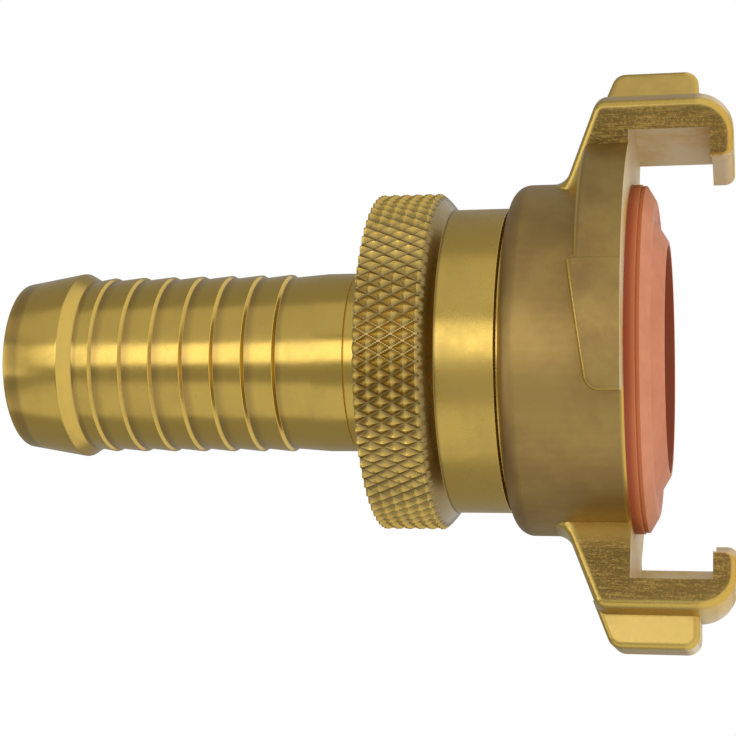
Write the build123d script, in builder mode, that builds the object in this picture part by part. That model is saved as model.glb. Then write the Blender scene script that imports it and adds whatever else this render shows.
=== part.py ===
"""Claw hose coupling with a swivelling hose tail.

The coupling stands on its head: Z is its axis, the fronts of the two claws lie on Z = 0
and the hose tail points up. The claws lie on the X axis. Millimetres throughout.
"""
from build123d import *
from math import cos, hypot, radians, sin
import os

os.makedirs("parts", exist_ok=True)

# ---------------------------------------------------------------- claws and head
lip_thickness = 2.35         # axial thickness of a lip
claw_throat = 8.25           # clear height between a lip and the face of the head
arm_thickness = 2.95
claw_near_angle = 19.75      # degrees from the X axis to the claw's two ends
claw_far_angle = 28.5
claw_slope_rise = 3.7        # how much lower the back of a claw is at the arm than at the hub
claw_back_height = 6.9       # foot of the claw's back above the face of the head
claw_front_round = 3.8       # large rounding at the front of an arm
claw_edge_round = 0.9        # rounding of the forged outer edges
lip_tip_round = 1.1
claw_shoulder_round = 1.2     # where the back of a claw meets the arm
claw_foot_round = 2.4        # hollow where the back of a claw runs into the hub

lug_height = 3.05            # grip lug on the back of an arm
lug_angle = 13.0             # degrees from the X axis, towards the claw's far end
lug_width = 9.0
lug_front_gap = 3.7          # lug front behind the claw front
lug_corner_round = 1.5
lug_edge_round = 0.7

hub_wall = 2.5               # hub outside the thread
hub_length = 12.55
hub_back_round = 1.9
hub_edge_chamfer = 0.2

flange_width = 4.8           # bayonet flange that the other coupling's lips pull on
flange_thickness = 4.6       # its plain stretch beside the claw
flange_plain_angle = 64.5    # degrees from the X axis to where the ramp begins
flange_end_angle = 97.5
ramp_top = 5.4               # flange thickness at the thick end of the ramp
ramp_foot = 3.3              # and at its free end
ramp_step_chamfer = 0.5
flange_edge_round = 0.6
ramp_proud = 0.04            # turned ramp stands this much proud of the plain stretch
flange_overlap = 2.5         # degrees that the plain stretch runs on at its two ends
flange_end_round = 1.6

# ---------------------------------------------------------------- face seal
seal_rim_height = 1.6        # outer rim proud of the head face
seal_face_height = 2.5       # flat of the sealing face
seal_lip_height = 3.7        # raised lip around the opening
seal_shoulder_width = 2.0    # from the rim to the flat of the sealing face
seal_flat_width = 0.9        # flat ring outside the shallow groove
seal_groove_width = 1.3
seal_groove_depth = 0.3
seal_neck_inset = 3.7        # neck through the rim of the head, inside the seal's rim
seal_foot_width = 1.2        # foot that snaps in behind it
seal_foot_depth = 2.7
seal_foot_gap = 0.02         # slack of the foot behind the rim of the head
seal_lip_land = 0.4          # flat front of the raised lip
seal_shoulder_round = 1.5
seal_line_width = 0.25       # fine groove around the rim
seal_line_depth = 0.25
head_rim_thickness = 1.2     # inner rim of the head that the seal snaps behind
seal_clearance = 0.05

# ---------------------------------------------------------------- swivel and thread
thread_pitch = 1.5           # fine thread between nut and head, M33 x 1.5
thread_clearance = 0.05
web_length = 4.9             # bore in the head that the spigot turns in
spigot_radius = 11.95
running_clearance = 0.05
collar_width = 2.25          # collar outside the spigot
collar_thickness = 3.4
slip_washer_thickness = 0.6
axial_play = 0.05            # on each side of each slip washer
o_ring_section = 1.48        # diameter of the squeezed ring's section
o_ring_groove_width = 2.2
o_ring_land = 1.1            # spigot in front of the groove
spigot_chamfer = 0.4
washer_clearance = 0.1
undercut_length = 0.9        # thread run-out inside the head

# ---------------------------------------------------------------- knurled nut
nut_gap = 0.45               # open joint between head and nut when it is tight
nut_bottom_gap = 0.15        # nut end above the web of the head
neck_length = 6.15
knurl_length = 6.4
knurl_chamfer = 1.6
knurl_bulge = 0.14           # crown of the chamfer in front of the knurl
knurl_back_round = 0.4
knurl_lines = 80             # grooves each way
knurl_angle = 30.0
knurl_depth = 0.72
knurl_overcut = 0.3
nut_bore_chamfer = 0.3
neck_edge_chamfer = 0.12

# ---------------------------------------------------------------- hose tail
tail_bore_radius = 7.9
tail_neck_radius = 9.87
tail_neck_length = 6.4       # plain neck outside the nut
neck_run_out = 4.0           # cone from the neck to the last barb
barb_root_radius = 9.3
barb_crest_radius = 9.9
barb_pitch = 3.47
barb_count = 7
barb_back_length = 0.3       # steep side of a barb
nose_barb_radius = 10.46
nose_radius = 9.33
nose_length = 6.7
nose_edge_chamfer = 0.25
neck_line_width = 0.3        # fine turned line around the neck
neck_line_depth = 0.12
neck_line_offset = 3.4

# ---------------------------------------------------------------- steps between mating sizes
seal_bore_step = 0.25        # seal's opening outside the spigot
nut_wall = 2.3               # nut between the collar and the crests of its thread
nut_bore_step = 0.88         # nut's bore outside the neck of the tail
lip_clearance = 2.8          # between the lips and the hub of the other half
arm_clearance = 1.3          # between the arms and the flange of the other half
rim_inset = 0.3              # seal rim inside the edge of the hub
neck_step = 0.06             # neck of the nut over its thread
knurl_step = 1.92             # knurl blank over the neck of the nut

# ---------------------------------------------------------------- derived places
collar_radius = spigot_radius + collar_width
thread_major_radius = collar_radius + nut_wall
hub_radius = thread_major_radius + hub_wall
flange_radius = hub_radius + flange_width
lip_radius = hub_radius + lip_clearance
arm_inner_radius = flange_radius + arm_clearance
seal_rim_radius = hub_radius - rim_inset
seal_flat_outer = seal_rim_radius - seal_shoulder_width
seal_groove_outer = seal_flat_outer - seal_flat_width
seal_flat_inner = seal_groove_outer - seal_groove_width
seal_bore_radius = spigot_radius + seal_bore_step
seal_neck_radius = seal_rim_radius - seal_neck_inset
seal_foot_radius = seal_neck_radius + seal_foot_width
forged_root_radius = (hub_radius + seal_foot_radius) / 2
neck_radius = thread_major_radius + neck_step
knurl_radius = neck_radius + knurl_step
nut_bore_radius = tail_neck_radius + nut_bore_step
head_face = lip_thickness + claw_throat
hub_back = head_face + hub_length
arm_outer_radius = arm_inner_radius + arm_thickness
web_face = head_face + seal_foot_depth
web_back = web_face + web_length
spigot_bore_radius = spigot_radius + running_clearance
thread_depth = 0.5413 * thread_pitch
thread_mean_radius = thread_major_radius - thread_depth / 2
thread_root_radius = thread_major_radius - thread_depth
counterbore_radius = collar_radius + running_clearance

front_washer_bottom = web_back + axial_play
collar_front = front_washer_bottom + slip_washer_thickness + axial_play
collar_back = collar_front + collar_thickness
back_washer_bottom = collar_back + axial_play
nut_shoulder = back_washer_bottom + slip_washer_thickness + axial_play
nut_front = web_back + nut_bottom_gap
neck_front = hub_back + nut_gap
knurl_chamfer_front = neck_front + neck_length
knurl_front = knurl_chamfer_front + knurl_chamfer
nut_back = knurl_front + knurl_length

spigot_front = web_face + 0.3
groove_front = spigot_front + o_ring_land
groove_radius = spigot_bore_radius - o_ring_section - 0.06
neck_end = nut_back + tail_neck_length
last_crest = neck_end + neck_run_out + barb_back_length
nose_crest = last_crest + barb_count * barb_pitch
tail_end = nose_crest + nose_length


def radial_plane(angle):
    """Plane through the axis: local x points outwards at the angle, local y along Z."""
    a = radians(angle)
    return Plane(origin=(0, 0, 0), x_dir=(cos(a), sin(a), 0), z_dir=(sin(a), -cos(a), 0))


def from_axis(point):
    """Distance of a point from the coupling's axis."""
    return hypot(point.X, point.Y)


def corners_at(section, height):
    """Corners of a section that lie at one height, the innermost first."""
    return section.vertices().filter_by(lambda v: abs(v.Y - height) < 0.01).sort_by(Axis.X)


# ---------------------------------------------------------------- one claw
claw_foot_radius = hub_radius - 0.05
claw_back = head_face + claw_back_height
claw_shoulder = claw_back - claw_slope_rise
slope = claw_slope_rise / (arm_outer_radius - hub_radius)


def is_forged_edge(edge):
    """Outer edges of a claw's end face; the turned inner edges stay sharp."""
    middle = edge.center()
    radius = from_axis(middle)
    outside = radius > arm_inner_radius + 0.2 * arm_thickness
    front = middle.Z < 0.6 * lip_thickness and radius < arm_inner_radius
    back = middle.Z > head_face + 0.3 and radius > hub_radius - 0.2
    return outside or front or back


with BuildPart() as claw:
    with BuildSketch(radial_plane(-claw_near_angle)) as claw_section:
        with BuildLine():
            Polyline(
                (forged_root_radius, head_face),
                (arm_inner_radius, head_face),
                (arm_inner_radius, lip_thickness),
                (lip_radius, lip_thickness),
                (lip_radius, 0),
                (arm_outer_radius, 0),
                (arm_outer_radius, claw_shoulder),
                (claw_foot_radius, claw_back),
                (claw_foot_radius, claw_back + claw_foot_round),
                (forged_root_radius, claw_back + claw_foot_round),
                close=True,
            )
        make_face()
        fillet(corners_at(claw_section, 0)[-1], claw_front_round)
        fillet(corners_at(claw_section, 0)[0], lip_tip_round)
        fillet(corners_at(claw_section, claw_back), claw_foot_round)
        fillet(corners_at(claw_section, claw_shoulder), claw_shoulder_round)
    revolve(axis=Axis.Z, revolution_arc=claw_near_angle + claw_far_angle)
    claw_ends = claw.faces().filter_by(GeomType.PLANE).filter_by(
        lambda f: abs(f.normal_at().Z) < 0.01)
    fillet(claw_ends.edges().filter_by(is_forged_edge), claw_edge_round)

# ---------------------------------------------------------------- grip lug on a claw
lug_top = arm_outer_radius + lug_height
lug_root = arm_outer_radius - 0.6 * arm_thickness

with BuildPart() as lug:
    with BuildSketch(radial_plane(lug_angle)) as lug_section:
        with BuildLine():
            Polyline(
                (lug_root, lug_front_gap),
                (lug_top, lug_front_gap),
                (lug_top, claw_back - slope * (lug_top - hub_radius)),
                (lug_root, claw_back - slope * (lug_root - hub_radius)),
                close=True,
            )
        make_face()
        fillet(lug_section.vertices().sort_by(Axis.X)[-2:], lug_corner_round)
    extrude(amount=lug_width / 2, both=True)
    side_faces = lug.faces().sort_by(Axis.Y)
    outlines = (side_faces[0].edges() + side_faces[-1].edges()).filter_by(
        lambda e: from_axis(e.center()) > lug_root + 0.8)
    fillet(outlines, lug_edge_round)

# ---------------------------------------------------------------- bayonet flange beside a claw
ramp_angle = flange_end_angle - flange_plain_angle
ramp_middle = flange_plain_angle + ramp_angle / 2
ramp_length = radians(ramp_angle) * flange_radius


def is_flange_rim(edge):
    """Edges along the outside of the flange, apart from those on the face of the head."""
    on_rim = all(abs(from_axis(v) - flange_radius) < ramp_proud / 4 for v in edge.vertices())
    return on_rim and edge.center().Z > head_face + 0.1


with BuildPart() as flange:
    with BuildSketch(radial_plane(-flange_plain_angle - flange_overlap)) as plain_section:
        plain_radius = flange_radius - ramp_proud
        with Locations(((forged_root_radius + plain_radius) / 2, head_face + flange_thickness / 2)):
            Rectangle(plain_radius - forged_root_radius, flange_thickness)
        fillet(corners_at(plain_section, head_face + flange_thickness)[-1], flange_edge_round)
    revolve(axis=Axis.Z, revolution_arc=flange_plain_angle - claw_near_angle + 2 * flange_overlap)

with BuildPart() as ramp:
    with BuildSketch(radial_plane(-flange_end_angle)) as ramp_section:
        with Locations(((forged_root_radius + flange_radius) / 2, head_face + ramp_top / 2)):
            Rectangle(flange_radius - forged_root_radius, ramp_top)
    revolve(axis=Axis.Z, revolution_arc=ramp_angle)
    # the back of the ramp falls towards its free end
    middle = radians(-ramp_middle)
    fall = (ramp_top - ramp_foot) / ramp_length
    ramp_back = Plane(
        origin=(0, 0, head_face + (ramp_top + ramp_foot) / 2),
        x_dir=(cos(middle), sin(middle), 0),
        z_dir=(fall * sin(middle), -fall * cos(middle), 1),
    )
    split(bisect_by=ramp_back, keep=Keep.BOTTOM)
    back_face = ramp.faces().sort_by(lambda f: f.center().Z)[-1]
    radial_edges = back_face.edges().filter_by(GeomType.LINE).sort_by(lambda e: e.center().X)
    fillet(radial_edges[0], flange_end_round)
    back_face = ramp.faces().sort_by(lambda f: f.center().Z)[-1]
    radial_edges = back_face.edges().filter_by(GeomType.LINE).sort_by(lambda e: e.center().X)
    chamfer(radial_edges[-1], ramp_step_chamfer)

# ---------------------------------------------------------------- head
with BuildPart() as coupling_head:
    with BuildSketch(Plane.XZ) as head_section:
        with BuildLine():
            Polyline(
                (seal_neck_radius + seal_clearance, head_face),
                (hub_radius, head_face),
                (hub_radius, hub_back),
                (thread_mean_radius + thread_clearance, hub_back),
                (thread_mean_radius + thread_clearance, web_back),
                (spigot_bore_radius, web_back),
                (spigot_bore_radius, web_face),
                (seal_foot_radius + seal_clearance, web_face),
                (seal_foot_radius + seal_clearance, head_face + head_rim_thickness),
                (seal_neck_radius + seal_clearance, head_face + head_rim_thickness),
                close=True,
            )
        make_face()
        fillet(corners_at(head_section, hub_back)[-1], hub_back_round)
        chamfer(corners_at(head_section, hub_back)[0], thread_depth)
        chamfer(corners_at(head_section, head_face)[-1], hub_edge_chamfer)
    revolve(axis=Axis.Z)
    for forged in (flange, ramp, claw, lug):
        with PolarLocations(0, 2):
            add(forged.part)
    fillet(coupling_head.edges().filter_by(is_flange_rim), flange_edge_round)
coupling_head.part.label = "coupling_head"
export_step(coupling_head.part, "parts/coupling_head.step")

# ---------------------------------------------------------------- face seal
with BuildPart() as face_seal:
    with BuildSketch(Plane.XZ) as seal_section:
        with BuildLine():
            Polyline(
                (seal_bore_radius, web_face - seal_foot_gap),
                (seal_bore_radius, head_face - seal_lip_height),
                (seal_bore_radius + seal_lip_land, head_face - seal_lip_height),
                (seal_flat_inner, head_face - seal_face_height),
                (seal_flat_inner + seal_groove_depth, head_face - seal_face_height + seal_groove_depth),
                (seal_groove_outer, head_face - seal_face_height + seal_groove_depth),
                (seal_groove_outer + seal_groove_depth, head_face - seal_face_height),
                (seal_flat_outer, head_face - seal_face_height),
                (seal_rim_radius, head_face - seal_rim_height),
                (seal_rim_radius, head_face),
                (seal_neck_radius, head_face),
                (seal_neck_radius, head_face + head_rim_thickness + seal_foot_gap),
                (seal_foot_radius, head_face + head_rim_thickness + seal_foot_gap),
                (seal_foot_radius, web_face - seal_foot_gap),
                close=True,
            )
        make_face()
        fillet(corners_at(seal_section, head_face - seal_face_height)[-1], seal_shoulder_round)
        # parting groove around the rim
        with Locations((seal_rim_radius, head_face - seal_rim_height / 2)):
            Rectangle(2 * seal_line_depth, seal_line_width, mode=Mode.SUBTRACT)
    revolve(axis=Axis.Z)
face_seal.part.label = "face_seal"
export_step(face_seal.part, "parts/face_seal.step")

# ---------------------------------------------------------------- hose tail
barb_points = []
for barb in range(barb_count):
    crest = last_crest + barb * barb_pitch
    barb_points.append((barb_root_radius, crest - barb_back_length))
    barb_points.append((barb_crest_radius, crest))
barb_points.append((barb_root_radius, nose_crest - barb_back_length))

with BuildPart() as hose_tail:
    with BuildSketch(Plane.XZ) as tail_section:
        with BuildLine():
            Polyline(
                (tail_bore_radius, spigot_front),
                (spigot_radius, spigot_front),
                (spigot_radius, groove_front),
                (groove_radius, groove_front),
                (groove_radius, groove_front + o_ring_groove_width),
                (spigot_radius, groove_front + o_ring_groove_width),
                (spigot_radius, collar_front),
                (collar_radius, collar_front),
                (collar_radius, collar_back),
                (tail_neck_radius, collar_back),
                (tail_neck_radius, neck_end),
                *barb_points,
                (nose_barb_radius, nose_crest),
                (nose_radius, tail_end),
                (tail_bore_radius, tail_end),
                close=True,
            )
        make_face()
        chamfer(corners_at(tail_section, spigot_front)[-1], spigot_chamfer)
        chamfer(corners_at(tail_section, tail_end), nose_edge_chamfer)
        with Locations((tail_neck_radius, neck_end - neck_line_offset)):
            Rectangle(2 * neck_line_depth, neck_line_width, mode=Mode.SUBTRACT)
    revolve(axis=Axis.Z)
hose_tail.part.label = "hose_tail"
export_step(hose_tail.part, "parts/hose_tail.step")

# ---------------------------------------------------------------- sealing ring on the spigot
o_ring_middle = groove_radius + (spigot_bore_radius - groove_radius) / 2
with BuildPart() as spigot_o_ring:
    with BuildSketch(Plane.XZ) as ring_section:
        with Locations((o_ring_middle, groove_front + o_ring_groove_width / 2)):
            Circle(o_ring_section / 2)
    revolve(axis=Axis.Z)
spigot_o_ring.part.label = "spigot_o_ring"
export_step(spigot_o_ring.part, "parts/spigot_o_ring.step")

# ---------------------------------------------------------------- slip washers beside the collar
washer_bores = {"front_slip_washer": spigot_radius, "back_slip_washer": tail_neck_radius}
washer_places = {"front_slip_washer": front_washer_bottom, "back_slip_washer": back_washer_bottom}
for name, bore in washer_bores.items():
    with BuildPart() as slip_washer:
        with BuildSketch(Plane.XY.offset(washer_places[name])):
            Circle(collar_radius)
            Circle(bore + washer_clearance, mode=Mode.SUBTRACT)
        extrude(amount=slip_washer_thickness)
    slip_washer.part.label = name
    export_step(slip_washer.part, f"parts/{name}.step")

# ---------------------------------------------------------------- knurled nut
knurl_middle = knurl_front + knurl_length / 2
groove_open = knurl_depth + knurl_overcut
groove_half_length = (knurl_length / 2 + knurl_overcut) / cos(radians(knurl_angle)) + knurl_depth


def knurl_groove(lean):
    """One straight V groove of the knurl, leaning from the axis by the given angle."""
    along = (0, sin(radians(lean)), cos(radians(lean)))
    across = Plane(origin=(knurl_radius, 0, knurl_middle), x_dir=(1, 0, 0), z_dir=along)
    with BuildPart() as groove:
        with BuildSketch(across):
            with BuildLine():
                Polyline(
                    (-knurl_depth, 0),
                    (knurl_overcut, groove_open),
                    (knurl_overcut, -groove_open),
                    close=True,
                )
            make_face()
        extrude(amount=groove_half_length, both=True)
    return groove.part


right_groove = knurl_groove(knurl_angle)
left_groove = knurl_groove(-knurl_angle)

with BuildPart() as knurled_nut:
    with BuildSketch(Plane.XZ) as nut_section:
        with BuildLine():
            chamfer_start = (neck_radius, knurl_chamfer_front)
            chamfer_end = (knurl_radius, knurl_front)
            middle_radius = (neck_radius + knurl_radius) / 2 + knurl_bulge
            middle_height = (knurl_chamfer_front + knurl_front) / 2 - knurl_bulge
            Polyline(
                (knurl_radius, knurl_front),
                (knurl_radius, nut_back),
                (nut_bore_radius, nut_back),
                (nut_bore_radius, nut_shoulder),
                (counterbore_radius, nut_shoulder),
                (counterbore_radius, nut_front),
                (thread_mean_radius, nut_front),
                (thread_mean_radius, hub_back - undercut_length),
                (thread_root_radius, hub_back - undercut_length),
                (thread_root_radius, neck_front),
                (neck_radius, neck_front),
                (neck_radius, knurl_chamfer_front),
            )
            ThreePointArc(chamfer_start, (middle_radius, middle_height), chamfer_end)
        make_face()
        chamfer(corners_at(nut_section, nut_front)[-1], thread_depth / 2)
        chamfer(corners_at(nut_section, neck_front)[-1], neck_edge_chamfer)
        fillet(corners_at(nut_section, nut_back)[-1], knurl_back_round)
        chamfer(corners_at(nut_section, nut_back)[0], nut_bore_chamfer)
    revolve(axis=Axis.Z)
    for groove in (right_groove, left_groove):
        with PolarLocations(0, knurl_lines):
            add(groove, mode=Mode.SUBTRACT)
knurled_nut.part.label = "knurled_nut"
export_step(knurled_nut.part, "parts/knurled_nut.step")
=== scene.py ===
import math

import bpy
from mathutils import Matrix, Vector


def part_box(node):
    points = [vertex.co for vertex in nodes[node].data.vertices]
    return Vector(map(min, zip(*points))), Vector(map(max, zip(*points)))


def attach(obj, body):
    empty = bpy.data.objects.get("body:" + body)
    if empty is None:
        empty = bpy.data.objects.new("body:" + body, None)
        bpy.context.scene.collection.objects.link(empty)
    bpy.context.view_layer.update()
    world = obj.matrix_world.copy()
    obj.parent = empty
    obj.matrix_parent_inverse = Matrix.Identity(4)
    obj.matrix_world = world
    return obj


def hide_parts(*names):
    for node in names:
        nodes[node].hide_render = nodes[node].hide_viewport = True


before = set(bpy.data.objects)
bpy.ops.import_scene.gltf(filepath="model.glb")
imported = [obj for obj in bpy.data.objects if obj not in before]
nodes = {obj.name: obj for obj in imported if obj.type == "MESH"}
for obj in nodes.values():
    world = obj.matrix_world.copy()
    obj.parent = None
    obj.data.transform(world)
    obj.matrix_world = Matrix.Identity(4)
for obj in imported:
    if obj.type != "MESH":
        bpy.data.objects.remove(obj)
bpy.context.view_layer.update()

MM = 0.001
SHARP_ANGLE = math.radians(35)


# ---------------------------------------------------------------- sizes, in millimetres
def low(node_name, axis):
    """Lowest coordinate of a CAD node along an axis."""
    return getattr(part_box(node_name)[0], axis) / MM


def high(node_name, axis):
    """Highest coordinate of a CAD node along an axis."""
    return getattr(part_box(node_name)[1], axis) / MM


# head; the coupling stands on its claws, and its axis is Z
seal_lip_height = 3.7           # seal's raised lip in front of the face of the head
rim_inset = 0.3                 # seal's rim inside the edge of the hub
flange_width = 4.8
arm_reach = 9.05                # outside of a claw's arm beyond the hub
head_face = low("face_seal", "z") + seal_lip_height
hub_back = high("coupling_head", "z")
hub_radius = high("face_seal", "x") + rim_inset
flange_radius = hub_radius + flange_width
arm_radius = hub_radius + arm_reach

# nut
nut_front = low("knurled_nut", "z")
nut_back = high("knurled_nut", "z")
nut_gap = 0.45                  # open joint between the hub and the neck
nut_neck_radius = 16.56
neck_front = hub_back + nut_gap
knurl_radius = 18.4
knurl_length = 6.4
knurl_chamfer = 1.6
knurl_front = nut_back - knurl_length
chamfer_front = knurl_front - knurl_chamfer

# hose tail
tail_neck_radius = 9.87
tail_neck_end = nut_back + 6.4
barb_root = 9.56
barb_crest = 9.9
barb_pitch = 3.47
barb_count = 7
last_crest = tail_neck_end + 4.3
nose_crest = last_crest + barb_count * barb_pitch

# face seal
seal_rim_radius = 18.7

# ---------------------------------------------------------------- colours
def colour(red, green, blue):
    """Display colour, 0 to 255, as a linear one."""
    def linear(share):
        return share / 12.92 if share <= 0.04045 else ((share + 0.055) / 1.055) ** 2.4
    return (linear(red / 255), linear(green / 255), linear(blue / 255), 1.0)


white = (1.0, 1.0, 1.0, 1.0)
bright_brass = (0.67, 0.46, 0.105, 1.0)
golden_brass = (0.60, 0.42, 0.12, 1.0)
stained_brass = (0.50, 0.345, 0.095, 1.0)
hub_brass = (0.40, 0.262, 0.086, 1.0)
dull_brass = (0.40, 0.275, 0.085, 1.0)
brown_brass = (0.31, 0.195, 0.07, 1.0)
# painted shade colour for the knurl
knurl_shade_brown = (0.26, 0.19, 0.08, 1.0)
# pale colour for a painted reflection on the turned faces of the head
pale_reflection_brass = (0.74, 0.66, 0.42, 1.0)
# painted shade colour, for the chamfer in front of the knurl and the trimmed ends of the claws
painted_shade_brass = (0.20, 0.135, 0.04, 1.0)
dark_salmon = colour(212, 138, 102)
light_salmon = colour(224, 150, 112)
# painted shade colour for the side of the seal's rim
rim_side_shade = colour(196, 112, 62)
# painted shadow colour, where the seal's rim meets the head
rim_shadow_brown = colour(164, 76, 46)
# painted shade colour for the inside of the seal's opening
opening_shade_brown = colour(172, 92, 58)
light_acetal = colour(235, 232, 224)
dark_acetal = colour(222, 218, 208)
worn_black = colour(40, 40, 40)
deep_black = colour(28, 28, 28)
floor_grey = (0.86, 0.86, 0.86, 1.0)


# ---------------------------------------------------------------- building node trees
class NodeWork:
    """Short calls for the nodes of one tree, of a material or of Geometry Nodes."""

    def __init__(self, tree):
        self.tree = tree

    def feed(self, socket, value):
        """Links an output to a socket, or sets a plain value on it."""
        if isinstance(value, bpy.types.NodeSocket):
            self.tree.links.new(value, socket)
        else:
            socket.default_value = value

    def math(self, operation, *values, clamp=False):
        node = self.tree.nodes.new("ShaderNodeMath")
        node.operation = operation
        node.use_clamp = clamp
        for socket, value in zip(node.inputs, values):
            self.feed(socket, value)
        return node.outputs[0]

    def times(self, first, second):
        return self.math("MULTIPLY", first, second)

    def scaled(self, value, factor, start):
        """The value times a factor, counted from a start."""
        return self.math("MULTIPLY_ADD", value, factor, start)

    def vector(self, operation, *values):
        node = self.tree.nodes.new("ShaderNodeVectorMath")
        node.operation = operation
        for socket, value in zip(node.inputs, values):
            self.feed(socket, value)
        single = operation in ("DOT_PRODUCT", "LENGTH")
        return node.outputs["Value" if single else "Vector"]

    def split(self, vector):
        node = self.tree.nodes.new("ShaderNodeSeparateXYZ")
        self.feed(node.inputs[0], vector)
        return node.outputs

    def join(self, x, y, z):
        node = self.tree.nodes.new("ShaderNodeCombineXYZ")
        for socket, value in zip(node.inputs, (x, y, z)):
            self.feed(socket, value)
        return node.outputs[0]


class Finish(NodeWork):
    """A procedural material that reads object coordinates, built up node by node."""

    def __init__(self, name):
        self.material = bpy.data.materials.new(name)
        self.material.use_nodes = True
        super().__init__(self.material.node_tree)
        self.tree.nodes.clear()
        self.output = self.tree.nodes.new("ShaderNodeOutputMaterial")
        self.shader = self.tree.nodes.new("ShaderNodeBsdfPrincipled")
        self.feed(self.output.inputs["Surface"], self.shader.outputs["BSDF"])
        coordinates = self.tree.nodes.new("ShaderNodeTexCoord")
        self.place = coordinates.outputs["Object"]
        self.normal = coordinates.outputs["Normal"]

    def noise(self, vector, scale, detail, roughness):
        node = self.tree.nodes.new("ShaderNodeTexNoise")
        self.feed(node.inputs["Vector"], vector)
        node.inputs["Scale"].default_value = scale
        node.inputs["Detail"].default_value = detail
        node.inputs["Roughness"].default_value = roughness
        return node.outputs["Fac"]

    def ramp(self, value, none, full, most=1.0):
        """Smooth step of a value, from 0 at none to the most at full."""
        node = self.tree.nodes.new("ShaderNodeMapRange")
        node.interpolation_type = "SMOOTHSTEP"
        for socket, given in zip(node.inputs, (value, none, full, 0.0, most)):
            self.feed(socket, given)
        return node.outputs["Result"]

    def ramp_mm(self, length, none, full):
        """Smooth step of a length, with its two ends in millimetres."""
        return self.ramp(length, none * MM, full * MM)

    def mix(self, share, first, second):
        """Colour between two colours."""
        node = self.tree.nodes.new("ShaderNodeMix")
        node.data_type = "RGBA"
        self.feed(node.inputs["Factor"], share)
        self.feed(node.inputs["A"], first)
        self.feed(node.inputs["B"], second)
        return node.outputs["Result"]

    def bump(self, height, depth, strength, below=None):
        """Relief of a height, with its depth in millimetres, on top of another relief."""
        node = self.tree.nodes.new("ShaderNodeBump")
        node.inputs["Strength"].default_value = strength
        node.inputs["Distance"].default_value = depth * MM
        self.feed(node.inputs["Height"], height)
        if below is not None:
            self.feed(node.inputs["Normal"], below)
        return node.outputs["Normal"]

    def around_axis(self):
        """Distance from the coupling's axis, height along it, and the outward direction."""
        x, y, z = self.split(self.place)
        flat = self.join(x, y, 0.0)
        return self.vector("LENGTH", flat), z, self.vector("NORMALIZE", flat)

    def surface(self, base, roughness, relief, metallic=0.0, specular=0.5):
        """Puts the colour, roughness, relief and gloss on the shader."""
        values = {"Base Color": base, "Roughness": roughness, "Normal": relief,
                  "Metallic": metallic, "Specular IOR Level": specular}
        for socket_name, value in values.items():
            self.feed(self.shader.inputs[socket_name], value)
        return self.material


# ---------------------------------------------------------------- finishes
def turned_brass(name, roughness, tarnish, groove_depth=0.0):
    """Lathe-turned brass: fine lines around the axis, faint tarnish and small specks, painted
    shade in the barb roots, on the chamfer in front of a knurl and in the grooves of a knurl."""
    brass = Finish(name)
    radius, height, outward = brass.around_axis()
    track = brass.join(radius, 0.0, height)
    lines = brass.noise(track, scale=5200.0, detail=3.0, roughness=0.75)
    bands = brass.noise(track, scale=420.0, detail=2.0, roughness=0.5)
    clouds = brass.noise(brass.place, scale=150.0, detail=5.0, roughness=0.62)
    specks = brass.noise(brass.place, scale=2300.0, detail=2.0, roughness=0.6)
    stain = brass.ramp(brass.math("ADD", brass.times(clouds, 0.75), brass.times(bands, 0.25)),
                       0.44, 0.68)
    base = brass.mix(brass.times(stain, tarnish), bright_brass, stained_brass)
    base = brass.mix(brass.ramp(specks, 0.66, 0.8, most=0.35), base, brown_brass)

    # painted shade: the barb roots are darkened brown, where shade falls between the barbs
    in_barbs = brass.ramp_mm(height, last_crest - 1.2, last_crest - 0.4)
    in_root = brass.times(brass.ramp_mm(radius, barb_root + 0.14, barb_root + 0.02),
                          brass.ramp_mm(radius, barb_root - 0.26, barb_root - 0.06))
    root_shade = brass.times(brass.times(in_root, in_barbs), 0.55)
    base = brass.mix(root_shade, base, brown_brass)

    if groove_depth:
        # painted shade: the chamfer in front of the knurl is darkened
        on_chamfer = brass.times(brass.ramp_mm(height, chamfer_front - 0.35, chamfer_front),
                                 brass.ramp_mm(height, knurl_front, knurl_front - 0.7))
        base = brass.mix(brass.times(on_chamfer, 0.85), base, painted_shade_brass)
        # painted shade: the knurl is darkened brown, most of all in its grooves
        in_knurl = brass.times(
            brass.ramp_mm(height, chamfer_front + 0.1, knurl_front - 0.2),
            brass.ramp_mm(radius, nut_neck_radius + 0.44, nut_neck_radius + 0.74))
        land_edge = knurl_radius - 0.08
        deep = brass.ramp_mm(radius, land_edge, land_edge - groove_depth)
        groove_shade = brass.times(in_knurl, brass.scaled(deep, 0.62, 0.16))
        base = brass.mix(groove_shade, base, knurl_shade_brown)

    rough = brass.scaled(stain, 0.09, roughness - 0.04)
    rough = brass.scaled(specks, 0.08, rough)
    return brass.surface(base, rough, brass.bump(lines, 0.003, 0.6), metallic=1.0)


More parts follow.
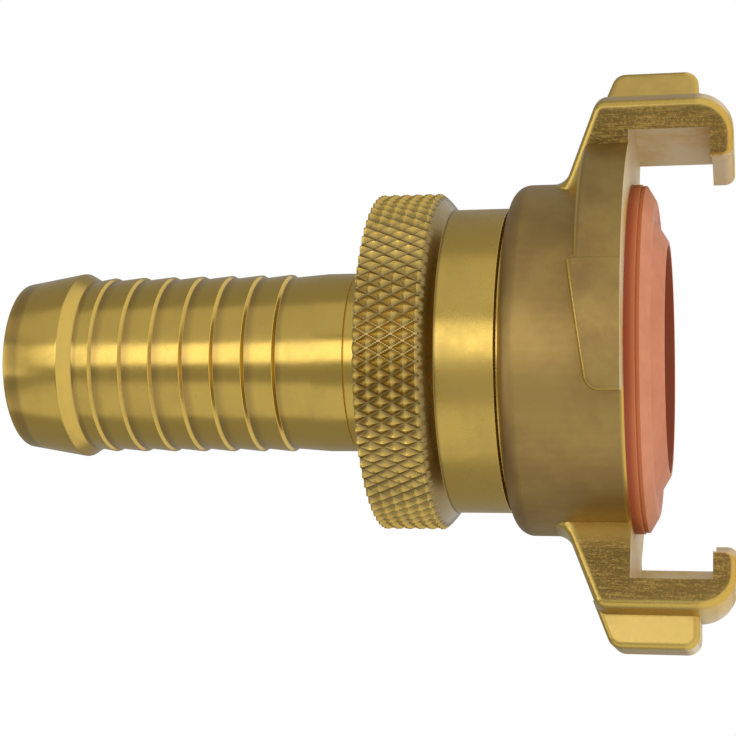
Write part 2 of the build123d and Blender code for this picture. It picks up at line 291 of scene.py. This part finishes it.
def head_brass(name):
    """Hot-pressed head: tumbled golden skin with worn edges, brownish hub, turned insides
    painted pale and less metallic for a pale reflection, and rough trimmed ends of the claws
    darkened with painted shade."""
    brass = Finish(name)
    radius, height, outward = brass.around_axis()
    sideways = brass.vector("CROSS_PRODUCT", (0.0, 0.0, 1.0), outward)
    facing_out = brass.vector("DOT_PRODUCT", brass.normal, outward)
    facing_side = brass.math("ABSOLUTE", brass.vector("DOT_PRODUCT", brass.normal, sideways))
    facing_along = brass.math("ABSOLUTE", brass.split(brass.normal)[2])

    # where each part of the skin lies
    on_hub = brass.times(brass.ramp_mm(radius, hub_radius + 0.12, hub_radius - 0.05),
                         brass.ramp_mm(height, head_face + 0.2, head_face + 0.5))
    inside_arm = brass.times(brass.ramp(facing_out, -0.5, -0.8),
                             brass.ramp_mm(radius, hub_radius + 1.5, hub_radius + 2.0))
    pressed_face = brass.times(brass.ramp(facing_along, 0.93, 0.99),
                               brass.ramp_mm(height, head_face + 0.6, head_face + 0.3))
    turned = brass.math("MAXIMUM", inside_arm, pressed_face)
    in_arm = brass.times(brass.ramp_mm(radius, hub_radius + 1.0, hub_radius + 3.5),
                         brass.ramp_mm(radius, arm_radius + 0.3, arm_radius - 0.6))
    trimmed = brass.times(brass.ramp(facing_side, 0.9, 0.985), in_arm)
    from_flange = brass.math("ABSOLUTE", brass.math("SUBTRACT", radius, flange_radius * MM))
    on_flange = brass.times(brass.ramp(facing_out, 0.6, 0.9),
                            brass.ramp_mm(from_flange, 0.3, 0.15))
    squarest = brass.math("MAXIMUM", brass.math("MAXIMUM", facing_along, facing_side),
                          brass.math("ABSOLUTE", facing_out))
    worn = brass.times(brass.ramp(squarest, 0.92, 0.8), brass.math("SUBTRACT", 1.0, on_hub))

    # marks in the skin
    dents = brass.noise(brass.place, scale=380.0, detail=4.0, roughness=0.6)
    grain = brass.noise(brass.place, scale=2600.0, detail=3.0, roughness=0.65)
    clouds = brass.noise(brass.place, scale=120.0, detail=5.0, roughness=0.62)
    pits = brass.noise(brass.place, scale=3400.0, detail=3.0, roughness=0.7)
    track = brass.join(radius, 0.0, height)
    cuts = brass.noise(track, scale=3800.0, detail=2.0, roughness=0.7)
    x, y, z = brass.split(brass.place)
    stretched = brass.join(x, y, brass.times(z, 0.12))
    streaks = brass.noise(stretched, scale=2600.0, detail=3.0, roughness=0.7)
    rough_skin = brass.ramp(brass.scaled(pits, 0.5, brass.times(streaks, 0.5)), 0.36, 0.56)

    golden_skin = brass.mix(brass.ramp(clouds, 0.4, 0.7), golden_brass, stained_brass)
    flange_skin = brass.mix(brass.ramp(clouds, 0.38, 0.66), dull_brass, brown_brass)
    hub_skin = brass.mix(brass.ramp(clouds, 0.36, 0.66), hub_brass, brown_brass)
    pale_reflection_skin = brass.mix(brass.ramp(clouds, 0.4, 0.7), pale_reflection_brass, bright_brass)
    base = brass.mix(on_flange, golden_skin, flange_skin)
    base = brass.mix(worn, base, bright_brass)
    base = brass.mix(on_hub, base, hub_skin)
    # painted reflection: the turned insides of the claws and the pressed face get a pale
    # colour; their roughness and fine cuts are their turned finish
    base = brass.mix(turned, base, pale_reflection_skin)
    # painted shade: the trimmed ends of the claws are darkened; their rough skin is real
    trimmed_shade = brass.times(trimmed, brass.scaled(rough_skin, 0.6, 0.3))
    base = brass.mix(trimmed_shade, base, painted_shade_brass)

    rough = brass.scaled(grain, 0.14, 0.27)
    for share, change in ((on_hub, 0.12), (on_flange, 0.14), (worn, -0.1), (turned, 0.16),
                          (trimmed, 0.14)):
        rough = brass.scaled(share, change, rough)

    relief = brass.bump(dents, 0.045, 0.35)
    grain_height = brass.times(grain, brass.scaled(trimmed, 2.0, 0.5))
    relief = brass.bump(grain_height, 0.02, 0.6, relief)
    relief = brass.bump(brass.times(rough_skin, trimmed), 0.05, 0.8, relief)
    cut_height = brass.times(cuts, brass.math("MAXIMUM", turned, on_hub))
    relief = brass.bump(cut_height, 0.004, 0.7, relief)
    # painted reflection: the turned faces are also made less metallic
    return brass.surface(base, rough, relief, metallic=brass.scaled(turned, -0.6, 1.0))


def seal_rubber(name):
    """Salmon elastomer, with painted shade on the side of its rim, a painted shadow where it
    meets the head and painted shade inside its opening.
    """
    rubber = Finish(name)
    radius, height, outward = rubber.around_axis()
    facing_out = rubber.vector("DOT_PRODUCT", rubber.normal, outward)
    clouds = rubber.noise(rubber.place, scale=260.0, detail=4.0, roughness=0.6)
    grain = rubber.noise(rubber.place, scale=3500.0, detail=3.0, roughness=0.6)
    on_rim = rubber.times(rubber.ramp(facing_out, 0.75, 0.95),
                          rubber.ramp_mm(radius, seal_rim_radius - 0.8, seal_rim_radius - 0.35))
    at_head = rubber.times(on_rim, rubber.ramp_mm(height, head_face - 1.0, head_face - 0.3))
    in_opening = rubber.ramp(facing_out, -0.5, -0.9)
    base = rubber.mix(rubber.ramp(clouds, 0.3, 0.7), dark_salmon, light_salmon)
    # painted shade: the side of the rim is darker and more orange
    base = rubber.mix(on_rim, base, rim_side_shade)
    # painted shadow: the rim is darkest next to the head
    base = rubber.mix(at_head, base, rim_shadow_brown)
    # painted shade: the inside of the opening is darker
    base = rubber.mix(in_opening, base, opening_shade_brown)
    return rubber.surface(base, rubber.scaled(grain, 0.12, 0.42),
                          rubber.bump(grain, 0.006, 0.5), specular=0.3)


def moulded_skin(name, light, dark):
    """Moulded elastomer or plastic with a fine grain and soft clouds."""
    skin = Finish(name)
    clouds = skin.noise(skin.place, scale=300.0, detail=4.0, roughness=0.6)
    grain = skin.noise(skin.place, scale=3500.0, detail=3.0, roughness=0.6)
    return skin.surface(skin.mix(skin.ramp(clouds, 0.3, 0.7), dark, light),
                        skin.scaled(grain, 0.12, 0.44),
                        skin.bump(grain, 0.008, 0.5), specular=0.3)


head_finish = head_brass("head_brass")
tail_finish = turned_brass("tail_brass", roughness=0.19, tarnish=0.35)
nut_finish = turned_brass("nut_brass", roughness=0.25, tarnish=0.6, groove_depth=0.45)
seal_finish = seal_rubber("seal_rubber")
washer_finish = moulded_skin("slip_plastic", light_acetal, dark_acetal)
o_ring_finish = moulded_skin("o_ring_rubber", worn_black, deep_black)


# ---------------------------------------------------------------- turned shapes
smooth_segments = 192           # sides of a plain turned piece


def rounded(corners):
    """Outline of (radius, height, rounding) corners with each corner rounded off."""
    steps = 6                   # short sides that stand for one rounding
    most = 0.45                 # share of a side that one rounding may take up
    outline = []
    for i, (radius, height, rounding) in enumerate(corners):
        corner = Vector((radius, height))
        if rounding == 0:
            outline.append(corner)
            continue
        before = Vector(corners[i - 1][:2]) - corner
        after = Vector(corners[(i + 1) % len(corners)][:2]) - corner
        half = before.angle(after) / 2
        reach = min(rounding / math.tan(half), most * before.length, most * after.length)
        start = corner + before.normalized() * reach
        end = corner + after.normalized() * reach
        for step in range(steps + 1):
            t = step / steps
            outline.append((1 - t) ** 2 * start + 2 * t * (1 - t) * corner + t * t * end)
    return outline


def lathe(name, outline, segments):
    """Closed ring mesh of a closed outline, in millimetres, with its faces outwards."""
    count = len(outline)
    turns = [2 * math.pi * k / segments for k in range(segments)]
    vertices = [(p.x * MM * math.cos(t), p.x * MM * math.sin(t), p.y * MM)
                for p in outline for t in turns]
    area = sum(p.x * q.y - q.x * p.y for p, q in zip(outline, outline[1:] + outline[:1]))
    faces = []
    for i in range(count):
        j = (i + 1) % count
        for k in range(segments):
            m = (k + 1) % segments
            face = (i * segments + k, i * segments + m, j * segments + m, j * segments + k)
            faces.append(face if area > 0 else face[::-1])
    mesh = bpy.data.meshes.new(name)
    mesh.from_pydata(vertices, [], faces)
    mesh.set_sharp_from_angle(angle=SHARP_ANGLE)
    piece = bpy.data.objects.new(name, mesh)
    bpy.context.scene.collection.objects.link(piece)
    return piece


# ---------------------------------------------------------------- hose tail
spigot_front = low("hose_tail", "z")
spigot_radius = 11.95
o_ring_middle = (low("spigot_o_ring", "z") + high("spigot_o_ring", "z")) / 2
groove_half_width = 1.1
groove_radius = 10.46
axial_play = 0.05               # on each side of each slip washer
collar_radius = high("hose_tail", "x")
collar_front = high("front_slip_washer", "z") + axial_play
collar_back = low("back_slip_washer", "z") - axial_play
tail_bore_radius = 7.9
tail_end = high("hose_tail", "z")
barb_back = 0.3                 # steep side of a barb
nose_back = 1.5                 # slope behind the crest of the nose barb
nose_barb_radius = 10.46
nose_radius = 9.33
neck_line = tail_neck_end - 3.5
neck_line_half_width = 0.1
neck_line_depth = 0.1

tail_corners = [
    (tail_bore_radius, spigot_front, 0.2),
    (spigot_radius, spigot_front, 0.35),
    (spigot_radius, o_ring_middle - groove_half_width, 0.05),
    (groove_radius, o_ring_middle - groove_half_width, 0.15),
    (groove_radius, o_ring_middle + groove_half_width, 0.15),
    (spigot_radius, o_ring_middle + groove_half_width, 0.05),
    (spigot_radius, collar_front, 0),
    (collar_radius, collar_front, 0.1),
    (collar_radius, collar_back, 0.1),
    (tail_neck_radius, collar_back, 0),
    (tail_neck_radius, neck_line - neck_line_half_width, 0.02),
    (tail_neck_radius - neck_line_depth, neck_line, 0.02),
    (tail_neck_radius, neck_line + neck_line_half_width, 0.02),
    (tail_neck_radius, tail_neck_end, 1.2),
]
for barb in range(barb_count):
    crest = last_crest + barb * barb_pitch
    tail_corners.append((barb_root, crest - barb_back, 0.12))
    tail_corners.append((barb_crest, crest, 0.16))
tail_corners += [
    (barb_root, nose_crest - nose_back, 0.6),
    (nose_barb_radius, nose_crest, 0.35),
    (nose_radius, tail_end, 0.3),
    (tail_bore_radius, tail_end, 0.25),
]
tail = lathe("barbed_tail", rounded(tail_corners), smooth_segments)
tail.data.materials.append(tail_finish)
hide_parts("hose_tail")
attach(tail, "tail")


# ---------------------------------------------------------------- knurled nut
def cut_knurl(piece, sizes, finish):
    """Diamond knurl cut into a lathed blank by Geometry Nodes, then made a plain mesh."""
    tree = bpy.data.node_groups.new("diamond_knurl", "GeometryNodeTree")
    tree.interface.new_socket("Geometry", in_out="INPUT", socket_type="NodeSocketGeometry")
    for size_name in sizes:
        tree.interface.new_socket(size_name, in_out="INPUT", socket_type="NodeSocketFloat")
    tree.interface.new_socket("Material", in_out="INPUT", socket_type="NodeSocketMaterial")
    tree.interface.new_socket("Geometry", in_out="OUTPUT", socket_type="NodeSocketGeometry")
    knurl = NodeWork(tree)
    given = tree.nodes.new("NodeGroupInput").outputs
    x, y, z = knurl.split(tree.nodes.new("GeometryNodeInputPosition").outputs[0])
    radius = knurl.math("SQRT", knurl.scaled(x, x, knurl.times(y, y)))

    # distance around and along the blank, both counted in lines
    lines_per_turn = knurl.math("DIVIDE", given["Lines"], 2 * math.pi)
    around = knurl.times(knurl.math("ARCTAN2", y, x), lines_per_turn)
    slope = knurl.math("DIVIDE", knurl.math("TANGENT", given["Lean"]), given["Blank radius"])
    along = knurl.times(knurl.math("SUBTRACT", z, given["Start"]),
                        knurl.times(slope, lines_per_turn))

    # one set of grooves leans each way, and the deeper one counts
    cuts = []
    for operation in ("ADD", "SUBTRACT"):
        from_line = knurl.math("PINGPONG", knurl.math(operation, around, along), 0.5)
        share = knurl.math("DIVIDE", knurl.times(from_line, 2.0),
                           knurl.math("SUBTRACT", 1.0, given["Land"]))
        soft = knurl.math("SQRT", knurl.scaled(share, share, given["Softness"]))
        cuts.append(knurl.times(knurl.math("SUBTRACT", 1.0, soft, clamp=True),
                                given["Depth"]))
    limit = knurl.math("SUBTRACT", given["Blank radius"], knurl.math("MAXIMUM", *cuts))
    share = knurl.math("DIVIDE", knurl.math("MINIMUM", radius, limit), radius)

    place = tree.nodes.new("GeometryNodeSetPosition")
    realize = tree.nodes.new("GeometryNodeRealizeInstances")
    paint = tree.nodes.new("GeometryNodeSetMaterial")
    result = tree.nodes.new("NodeGroupOutput")
    knurl.feed(place.inputs["Geometry"], given["Geometry"])
    knurl.feed(place.inputs["Position"],
               knurl.join(knurl.times(x, share), knurl.times(y, share), z))
    knurl.feed(realize.inputs["Geometry"], place.outputs["Geometry"])
    knurl.feed(paint.inputs["Geometry"], realize.outputs["Geometry"])
    knurl.feed(paint.inputs["Material"], given["Material"])
    knurl.feed(result.inputs["Geometry"], paint.outputs["Geometry"])

    modifier = piece.modifiers.new("knurl", "NODES")
    modifier.node_group = tree
    identifiers = {item.name: item.identifier for item in tree.interface.items_tree
                   if item.in_out == "INPUT"}
    for size_name, value in sizes.items():
        modifier[identifiers[size_name]] = float(value)
    modifier[identifiers["Material"]] = finish
    evaluated = piece.evaluated_get(bpy.context.evaluated_depsgraph_get())
    mesh = bpy.data.meshes.new_from_object(evaluated)
    piece.modifiers.clear()
    piece.data = mesh
    mesh.set_sharp_from_angle(angle=SHARP_ANGLE)
    return piece


knurl_lines = 80                # grooves each way
knurl_lean = math.radians(30)
knurl_depth = 0.6
knurl_land = 0.1                # share of a line's pitch left flat on the diamonds
knurl_softness = 0.012          # rounds the bottoms of the grooves
samples_per_line = 12
knurl_bulge = 0.14              # crown of the chamfer in front of the knurl
nut_bore_radius = 10.75
counterbore_radius = 14.25
counterbore_back = collar_back + 0.75
thread_radius = 16.09
thread_relief = 0.4             # turned down between the thread and the neck
thread_back = hub_back - 0.9

nut_corners = [
    (nut_bore_radius, nut_back, 0.25),
    (nut_bore_radius, counterbore_back, 0),
    (counterbore_radius, counterbore_back, 0.2),
    (counterbore_radius, nut_front, 0.2),
    (thread_radius, nut_front, 0.3),
    (thread_radius, thread_back, 0),
    (thread_radius - thread_relief, thread_back, 0.1),
    (thread_radius - thread_relief, neck_front, 0.1),
    (nut_neck_radius, neck_front, 0.12),
    (nut_neck_radius, chamfer_front, 0.15),
]
line_pitch = 2 * math.pi * knurl_radius / knurl_lines
row = line_pitch / samples_per_line / math.tan(knurl_lean)
for k in range(int(knurl_chamfer / row), 0, -1):
    share = 1 - k * row / knurl_chamfer
    crown = knurl_bulge * math.sin(math.pi * share)
    chamfer_radius = nut_neck_radius + (knurl_radius - nut_neck_radius) * share + crown
    nut_corners.append((chamfer_radius, knurl_front - k * row, 0))
for k in range(int(knurl_length / row)):
    nut_corners.append((knurl_radius, knurl_front + k * row, 0))
nut_corners.append((knurl_radius, nut_back, 0.4))
nut = lathe("diamond_knurled_nut", rounded(nut_corners), knurl_lines * samples_per_line)
nut = cut_knurl(nut, {"Lines": knurl_lines, "Lean": knurl_lean, "Depth": knurl_depth * MM,
                      "Land": knurl_land, "Softness": knurl_softness,
                      "Blank radius": knurl_radius * MM, "Start": knurl_front * MM}, nut_finish)
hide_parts("knurled_nut")
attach(nut, "nut")

# ---------------------------------------------------------------- face seal
seal_front = low("face_seal", "z")
seal_back = high("face_seal", "z")
seal_bore_radius = 12.2
seal_lip_land = 0.4             # flat front of the raised lip
sealing_face = head_face - 2.5
sealing_groove = (14.6, 16.0)   # shallow groove in the sealing face, inner and outer edge
sealing_groove_side = 0.3
sealing_groove_depth = 0.2
shoulder_radius = 16.9
shoulder_back = head_face - 1.55
rim_line = (head_face - 1.2, head_face - 1.1)   # fine line around the rim, front and back
rim_line_side = 0.05
rim_line_depth = 0.3
rim_front_radius = seal_rim_radius - 0.15
seal_neck_radius = 15.0
seal_foot_radius = 16.2
seal_foot_front = head_face + 1.22

seal_corners = [
    (seal_bore_radius, seal_back, 0.15),
    (seal_bore_radius, seal_front, 0.12),
    (seal_bore_radius + seal_lip_land, seal_front, 0.15),
    (sealing_groove[0], sealing_face, 0.5),
    (sealing_groove[0] + sealing_groove_side, sealing_face + sealing_groove_depth, 0.2),
    (sealing_groove[1] - sealing_groove_side, sealing_face + sealing_groove_depth, 0.2),
    (sealing_groove[1], sealing_face, 0.3),
    (shoulder_radius, sealing_face, 0.8),
    (rim_front_radius, shoulder_back, 0.12),
    (rim_front_radius, rim_line[0] - rim_line_side, 0.04),
    (seal_rim_radius - rim_line_depth, rim_line[0], 0.03),
    (seal_rim_radius - rim_line_depth, rim_line[1], 0.03),
    (seal_rim_radius, rim_line[1] + rim_line_side, 0.06),
    (seal_rim_radius, head_face, 0.1),
    (seal_neck_radius, head_face, 0),
    (seal_neck_radius, seal_foot_front, 0),
    (seal_foot_radius, seal_foot_front, 0.1),
    (seal_foot_radius, seal_back, 0.1),
]
seal = lathe("moulded_face_seal", rounded(seal_corners), smooth_segments)
seal.data.materials.append(seal_finish)
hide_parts("face_seal")
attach(seal, "head")

# ---------------------------------------------------------------- finishes of the CAD pieces
finishes = {"coupling_head": head_finish, "hose_tail": tail_finish, "knurled_nut": nut_finish,
            "face_seal": seal_finish, "spigot_o_ring": o_ring_finish,
            "front_slip_washer": washer_finish, "back_slip_washer": washer_finish}
for node_name, material in finishes.items():
    piece = nodes[node_name]
    if not piece.material_slots:
        piece.data.materials.append(material)
    for material_slot in piece.material_slots:
        material_slot.material = material

# ---------------------------------------------------------------- floor
scene = bpy.context.scene
scene.view_settings.view_transform = "Standard"
floor_reach = 0.45
floor_mesh = bpy.data.meshes.new("floor")
floor_mesh.from_pydata([(x * floor_reach, y * floor_reach, 0)
                        for x, y in ((-1, -1), (1, -1), (1, 1), (-1, 1))], [], [(0, 1, 2, 3)])
floor = bpy.data.objects.new("floor", floor_mesh)
scene.collection.objects.link(floor)

# pale and faintly glowing from above, clear from below, where the camera stands
paper = Finish("pale_floor")
paper.feed(paper.shader.inputs["Base Color"], floor_grey)
paper.feed(paper.shader.inputs["Roughness"], 0.9)
paper.feed(paper.shader.inputs["Emission Color"], white)
paper.feed(paper.shader.inputs["Emission Strength"], 0.45)
clear = paper.tree.nodes.new("ShaderNodeBsdfTransparent")
side = paper.tree.nodes.new("ShaderNodeNewGeometry").outputs["Backfacing"]
one_sided = paper.tree.nodes.new("ShaderNodeMixShader")
for socket, output in zip(one_sided.inputs, (side, paper.shader.outputs[0], clear.outputs[0])):
    paper.feed(socket, output)
paper.feed(paper.output.inputs["Surface"], one_sided.outputs[0])
floor_mesh.materials.append(paper.material)

# ---------------------------------------------------------------- studio room
room_light = 0.34
backdrop_light = 1.0
world = bpy.data.worlds.new("studio")
scene.world = world
world.use_nodes = True
room = NodeWork(world.node_tree)
room.tree.nodes.clear()
seen_directly = room.tree.nodes.new("ShaderNodeLightPath").outputs["Is Camera Ray"]
either = room.tree.nodes.new("ShaderNodeMixShader")
room.feed(either.inputs[0], seen_directly)
for socket, strength in zip(either.inputs[1:], (room_light, backdrop_light)):
    backdrop = room.tree.nodes.new("ShaderNodeBackground")
    room.feed(backdrop.inputs["Color"], white)
    room.feed(backdrop.inputs["Strength"], strength)
    room.feed(socket, backdrop.outputs[0])
room.feed(room.tree.nodes.new("ShaderNodeOutputWorld").inputs["Surface"], either.outputs[0])

# ---------------------------------------------------------------- camera
# It is turned on its side: one claw points up, and the axis runs from right to left. It stands
# at the height of the claws' fronts and looks a little towards the tail, into the seal.
camera_lean = math.radians(12.25)
camera_roll = math.radians(0.53)
camera_height = -1.56 * MM
axis_distance = 191.5 * MM
aim = Vector((-0.63 * MM, 0.0, camera_height + axis_distance * math.tan(camera_lean)))
back = Vector((0.0, -math.cos(camera_lean), -math.sin(camera_lean)))
level_up = Vector((1.0, 0.0, 0.0))
level_right = level_up.cross(back)
right = math.cos(camera_roll) * level_right - math.sin(camera_roll) * level_up
up = back.cross(right)


def stand(thing, x_axis, y_axis, z_axis, place):
    """Turns a camera or lamp to three directions, puts it in its place and links it."""
    turn = Matrix((x_axis, y_axis, z_axis)).transposed().to_4x4()
    thing.matrix_world = Matrix.Translation(place) @ turn
    scene.collection.objects.link(thing)


camera_data = bpy.data.cameras.new("camera")
camera_data.lens = 86.3
camera_data.sensor_width = 36.0
camera_data.clip_start = 0.01
camera = bpy.data.objects.new("camera", camera_data)
stand(camera, right, up, back, aim + axis_distance / math.cos(camera_lean) * back)
scene.camera = camera


# ---------------------------------------------------------------- lights
def soft_box(name, above, along, width, height, power):
    """Area light that faces the coupling, with its place given by two angles in degrees:
    above the camera and along the axis. Its width runs along the axis."""
    distance = 0.6
    above, along = math.radians(above), math.radians(along)
    across = back * math.cos(above) + level_up * math.sin(above)
    direction = across * math.cos(along) + level_right * math.sin(along)
    light = bpy.data.lights.new(name, "AREA")
    light.shape = "RECTANGLE"
    light.size = width
    light.size_y = height
    light.energy = power
    z_axis = direction.normalized()
    x_axis = (level_right - z_axis * level_right.dot(z_axis)).normalized()
    stand(bpy.data.objects.new(name, light), x_axis, z_axis.cross(x_axis), z_axis,
          aim + direction * distance)


soft_box("key_box", above=16.0, along=-24.0, width=0.7, height=0.26, power=0.9)
soft_box("low_box", above=-56.0, along=-24.0, width=0.7, height=0.5, power=0.42)
soft_box("tail_side_box", above=14.0, along=-78.0, width=0.36, height=0.36, power=0.4)
soft_box("top_box", above=62.0, along=-24.0, width=0.7, height=0.5, power=0.3)
